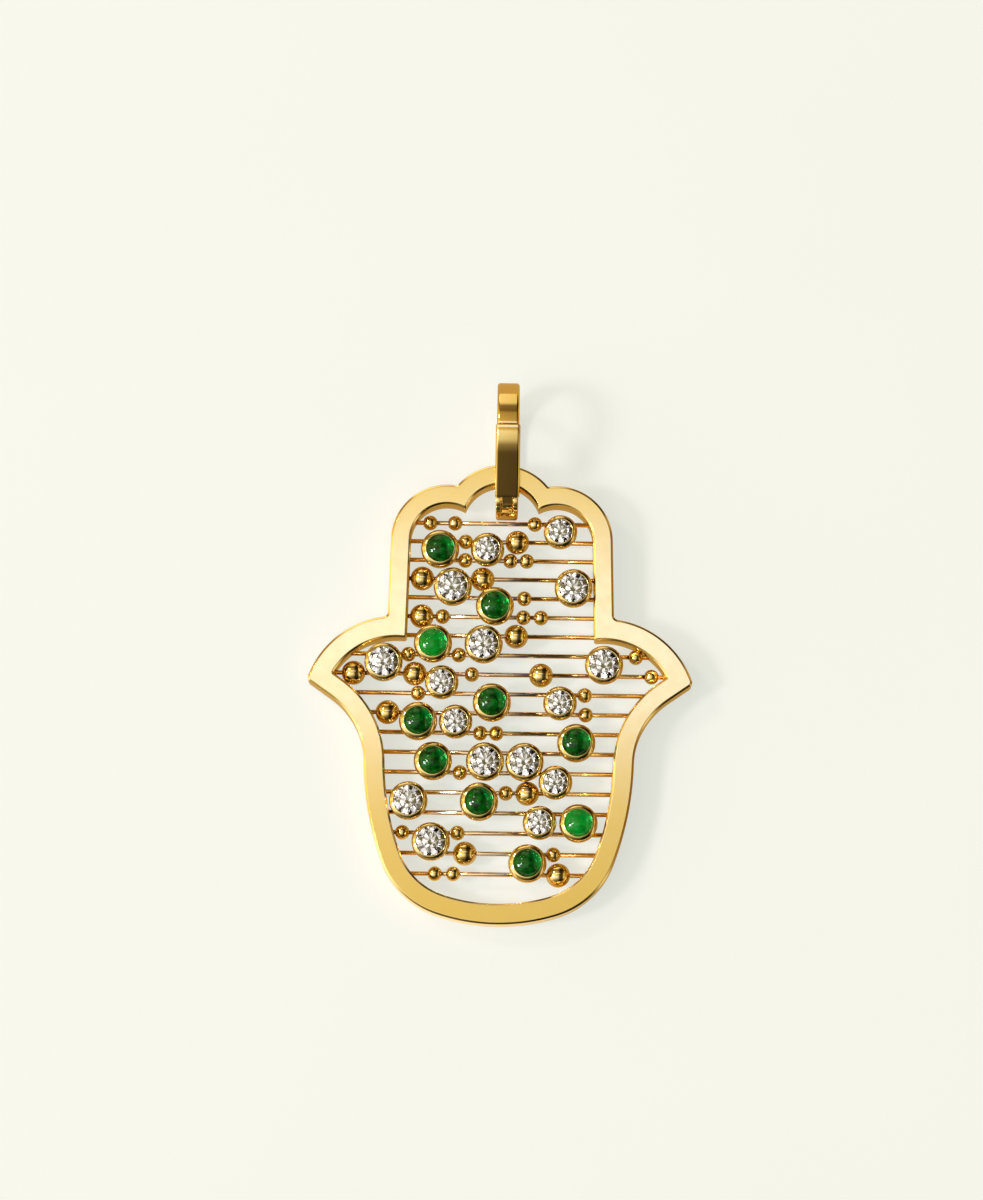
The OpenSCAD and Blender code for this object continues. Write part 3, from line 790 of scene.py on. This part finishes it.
def floor_material():
    """Pale cream paper. The camera sees it evenly lit, and the gold sees a painted glow on it, a pool
    of painted light that is brighter towards its lower left, with an even grey painted glow through
    the stones."""
    tree, shader = make_material("floor_cream")
    ray = tree.add("ShaderNodeLightPath").outputs
    paper = tree.ramp(
        tree.noise(scale=30, detail=2), (TONE_FROM, PAPER_SEEN_LOW), (TONE_TO, PAPER_SEEN_HIGH))
    # Painted light: the paper's glow for the gold's mirrors, from dim to bright towards its lower left
    lower_left = tree.span(tree.along(tree.coords["Object"], PAINTED_GLOW_WAY), PAINTED_GLOW_FROM, PAINTED_GLOW_TO)
    glow = tree.ramp(lower_left, (0, PAINTED_GLOW_DIM), (1, PAINTED_GLOW_BRIGHT))
    # Painted light: an even grey glow for rays that come through the stones
    glow = tree.blend(ray["Is Transmission Ray"], glow, PAINTED_GLOW_THROUGH_STONES)
    tree.fill(shader, {
        "Base Color": tree.blend(ray["Is Camera Ray"], PAPER_MIRRORED, paper),
        # The camera sees the even glow, and all other rays see the painted glow
        "Emission Color": tree.blend(ray["Is Camera Ray"], glow, PAPER_SEEN_GLOW),
        "Emission Strength": 1.0,
        "Roughness": 0.9,
        "Specular IOR Level": 0.1})
    return tree.owner


# Floor, light and camera

def build_floor():
    bpy.ops.mesh.primitive_plane_add(size=FLOOR_SIZE)
    floor = bpy.context.object
    floor.name = "floor"
    floor.data.materials.append(floor_material())
    return floor


def build_world():
    """A studio in bands of light: bright to the left and overhead, dark low in front and on the
    right but for one bright band there."""
    world = bpy.data.worlds.new("studio")
    bpy.context.scene.world = world
    tree = Tree(world)
    split = tree.add("ShaderNodeSeparateXYZ", {"Vector": tree.coords["Generated"]}).outputs

    def bands(axis, stops):
        places = [((share + 1) / 2, colour) for share, colour in stops]
        return tree.ramp(tree.span(split[axis], -1, 1), *places)

    sky = tree.blend(1.0, bands("Y", SKY_Y), bands("X", SKY_X), "MULTIPLY")
    grey = tree.add("ShaderNodeRGBToBW", {"Color": sky}).outputs["Val"]
    crisp = tree.span(grey, STONE_DARK, STONE_BRIGHT, 0, STONE_LIGHT)
    through_stone = tree.add("ShaderNodeLightPath").outputs["Is Transmission Ray"]
    tree.fill(tree.nodes["Background"], {
        "Color": tree.blend(through_stone, sky, crisp),
        "Strength": SKY_STRENGTH})


def softbox(name, direction, distance, size, power, colour):
    """A flat light, distance metres away in a direction, that faces the pendant."""
    light = bpy.data.lights.new(name, "AREA")
    light.shape = "RECTANGLE"
    light.size, light.size_y = size
    light.energy = power
    light.color = colour
    obj = bpy.data.objects.new(name, light)
    way = Vector(direction).normalized()
    obj.location = way * distance
    obj.rotation_mode = "QUATERNION"
    obj.rotation_quaternion = Vector((0, 0, 1)).rotation_difference(way)
    obj.visible_camera = False
    bpy.context.scene.collection.objects.link(obj)
    return obj


def limit(light, state, pieces):
    """Lets a light reach only these pieces (INCLUDE), or all but these (EXCLUDE)."""
    group = bpy.data.collections.new(f"{light.name}_{state}")
    for piece in pieces:
        group.objects.link(piece)
    for member in group.collection_objects:
        member.light_linking.link_state = state
    light.light_linking.receiver_collection = group


def build_camera():
    """The photo's view: from above the palm's end, slightly rolled."""
    data = bpy.data.cameras.new("camera")
    data.sensor_width = SENSOR
    data.lens = SENSOR * FOCAL_PX / PHOTO_HEIGHT_PX
    data.clip_start = CLIP_START
    data.clip_end = CLIP_END
    obj = bpy.data.objects.new("camera", data)
    rise = polar(1, CAMERA_ELEVATION)
    roll = polar(1, CAMERA_ROLL)
    back = Vector((0, -rise.x, rise.y))
    right = Vector((1, 0, 0))
    up = back.cross(right)
    x_axis = right * roll.x + up * roll.y
    y_axis = up * roll.x - right * roll.y
    obj.matrix_world = Matrix.Translation(LOOK_AT + back * CAMERA_DISTANCE) @ Matrix(
        (x_axis, y_axis, back)).transposed().to_4x4()
    bpy.context.scene.collection.objects.link(obj)
    bpy.context.scene.camera = obj


# Pieces

satin = gold("gold_satin", deep=(0.98, 0.73, 0.30), bright=(1.0, 0.755, 0.33),
             rough=(0.12, 0.16), grain=9000, grain_depth=0.000003)
polished = gold("gold_polished", deep=(0.80, 0.60, 0.25), bright=(0.86, 0.66, 0.29),
                rough=(0.03, 0.07), grain=4000, grain_depth=0.000002)
loop_gold = gold("gold_loop", deep=(0.97, 0.68, 0.25), bright=(1.0, 0.72, 0.28),
                 rough=(0.04, 0.09), grain=4000, grain_depth=0.000002)
wire_gold = gold("gold_wire", deep=(0.80, 0.61, 0.45), bright=(0.88, 0.70, 0.52),
                 rough=(0.08, 0.15), grain=6000, grain_depth=0.000003)
diamond = diamond_material()
# Each emerald's glow colour is painted light on its right rim
deep_green = emerald_material("emerald_deep", low=(0.0, 0.06, 0.004), high=(0.002, 0.38, 0.03),
                              glow=(0.01, 0.95, 0.25))
bright_green = emerald_material("emerald_bright", low=(0.003, 0.48, 0.04), high=(0.01, 0.80, 0.10),
                                glow=(0.03, 1.0, 0.30))

build_plate(satin)
build_wires(wire_gold)
build_beads("small_beads", "beads_small", polished)
build_beads("large_beads", "beads_large", polished)
build_collars("diamond_bezels", "collars_diamond", polished, LITTLE_OPENING_R, BIG_OPENING_R)
build_collars("emerald_bezels", "collars_emerald", polished, GREEN_OPENING_R, GREEN_OPENING_R)
diamonds = [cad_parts[f"diamond_{number}"] for number in range(1, DIAMOND_COUNT + 1)]
for stone in diamonds:
    stone.data.materials[0] = diamond
emeralds = [build_emerald(number, bright_green if number in BRIGHT_EMERALDS else deep_green)
            for number in range(1, EMERALD_COUNT + 1)]
build_loop(loop_gold)
build_gate(loop_gold)
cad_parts["bail_pin"].data.materials[0] = loop_gold

# Scene. The strip gives the gold a bluish gleam, and the glint gives the emeralds a highlight.

floor = build_floor()
build_world()
strip = softbox("strip", direction=(-0.06, 0.135, 1.0), distance=0.25, size=(0.22, 0.031),
                power=0.028, colour=(0.25, 0.43, 1.25))
limit(strip, "EXCLUDE", diamonds + emeralds + [floor])
glint = softbox("glint", direction=(-0.90, -0.28, 0.34), distance=0.8, size=(0.24, 0.24),
                power=5.5, colour=(1.0, 1.0, 1.0))
limit(glint, "INCLUDE", emeralds)
softbox("key_left", direction=(-0.70, -0.15, 0.70), distance=0.8, size=(0.14, 0.14),
        power=2.0, colour=(1.0, 0.98, 0.95))
softbox("key_high", direction=(-0.62, 0.42, 0.66), distance=0.8, size=(0.09, 0.09),
        power=0.8, colour=(1.0, 0.99, 0.97))
build_camera()
bpy.context.scene.view_settings.view_transform = "Standard"
